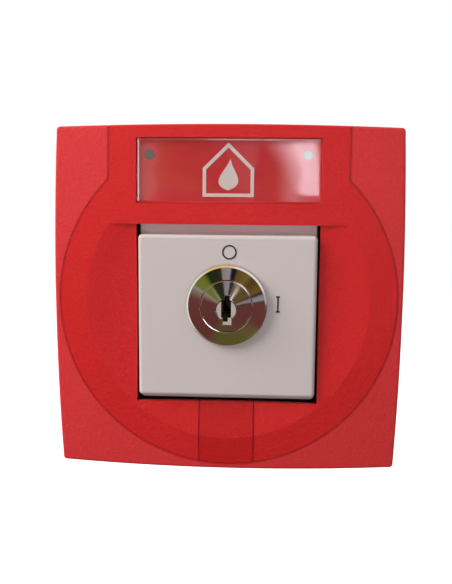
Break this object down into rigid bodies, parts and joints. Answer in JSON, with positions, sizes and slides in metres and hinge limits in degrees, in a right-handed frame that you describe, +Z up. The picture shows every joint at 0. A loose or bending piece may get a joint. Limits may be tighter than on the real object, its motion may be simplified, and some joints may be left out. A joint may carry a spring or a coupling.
{
  "type": "manual call point",
  "caption": "Square red wall call point with a round hinged door, label window, key-operated switch and spring latch.",
  "frame": {"origin": "centre of the back face, on the wall", "axes": "+Z up, +X to the right of the person facing it, -Y out of the wall towards that person"},
  "size_m": [0.133, 0.0424, 0.133],
  "materials": {
    "red_plastic": "fine moulded grain",
    "white_plastic": "satin",
    "chrome": "polished",
    "steel": "zinc plated",
    "brass": "plain",
    "clear": "clear gloss",
    "red_card": "printed",
    "print_light": "printed",
    "print_dark": "printed",
    "guide_dark": "tinted clear",
    "guide_green": "tinted clear",
    "board": "solder resist",
    "black_plastic": "moulded",
    "green_plastic": "moulded",
    "led": "clear",
    "resistor": "lacquered"
  },
  "bodies": {
    "housing": {"back_box": "red_plastic", "front_frame": "red_plastic", "frame_screws": "steel", "circuit_board": "board", "board_screws": "steel", "insert_base": "white_plastic", "insert_screws": "steel", "switch_cover": "white_plastic", "off_mark": "print_dark", "on_mark": "print_dark", "lock_barrel": "chrome", "lock_nut": "steel", "lock_washer": "steel", "microswitch_left": "black_plastic", "microswitch_right": "black_plastic", "switch_screws": "steel", "switch_terminals": "brass", "terminal_block": "green_plastic", "terminal_screws": "steel", "indicator_leds": "led", "hinge_pin_left": "steel", "hinge_pin_right": "steel", "board_resistors": "resistor"},
    "door": {"front_door": "red_plastic", "label_card": "red_card", "fire_symbol": "print_light", "label_cover": "clear", "light_guide_left": "guide_dark", "light_guide_right": "guide_green", "latch_retainer": "steel", "retainer_screws": "steel", "latch_spring": "steel"},
    "latch": {"door_latch": "red_plastic"},
    "key_plug": {"lock_plug": "chrome", "tumblers": "brass", "retaining_ring": "steel", "switch_cam": "black_plastic", "cam_screw": "steel"},
    "plunger_l": {"plunger_left": "black_plastic"},
    "plunger_r": {"plunger_right": "black_plastic"}
  },
  "joints": [
    {"name": "door_hinge", "type": "hinge", "parent": "housing", "child": "door", "pos_m": [0, -0.0275, 0.0615], "axis": [-1, 0, 0], "range_deg": [0, 100]},
    {"name": "latch_slide", "type": "slide", "parent": "door", "child": "latch", "axis": [0, 0, 1], "range_m": [0, 0.0018], "stiffness_N_per_m": 400, "springref_m": -0.004, "deforming": ["latch_spring"]},
    {"name": "key_turn", "type": "hinge", "parent": "housing", "child": "key_plug", "pos_m": [0, -0.03, -0.0008], "axis": [0, 1, 0], "range_deg": [0, 90]},
    {"name": "plunger_left_slide", "type": "slide", "parent": "housing", "child": "plunger_l", "axis": [1, 0, 0], "range_m": [0, 0.0012]},
    {"name": "plunger_right_slide", "type": "slide", "parent": "housing", "child": "plunger_r", "axis": [1, 0, 0], "range_m": [0, 0.0012]}
  ],
  "couplings": [
    {"joint": "plunger_left_slide", "follows": "key_turn", "m_per_rad": 0.00076394},
    {"joint": "plunger_right_slide", "follows": "key_turn", "m_per_rad": 0.00076394}
  ]
}
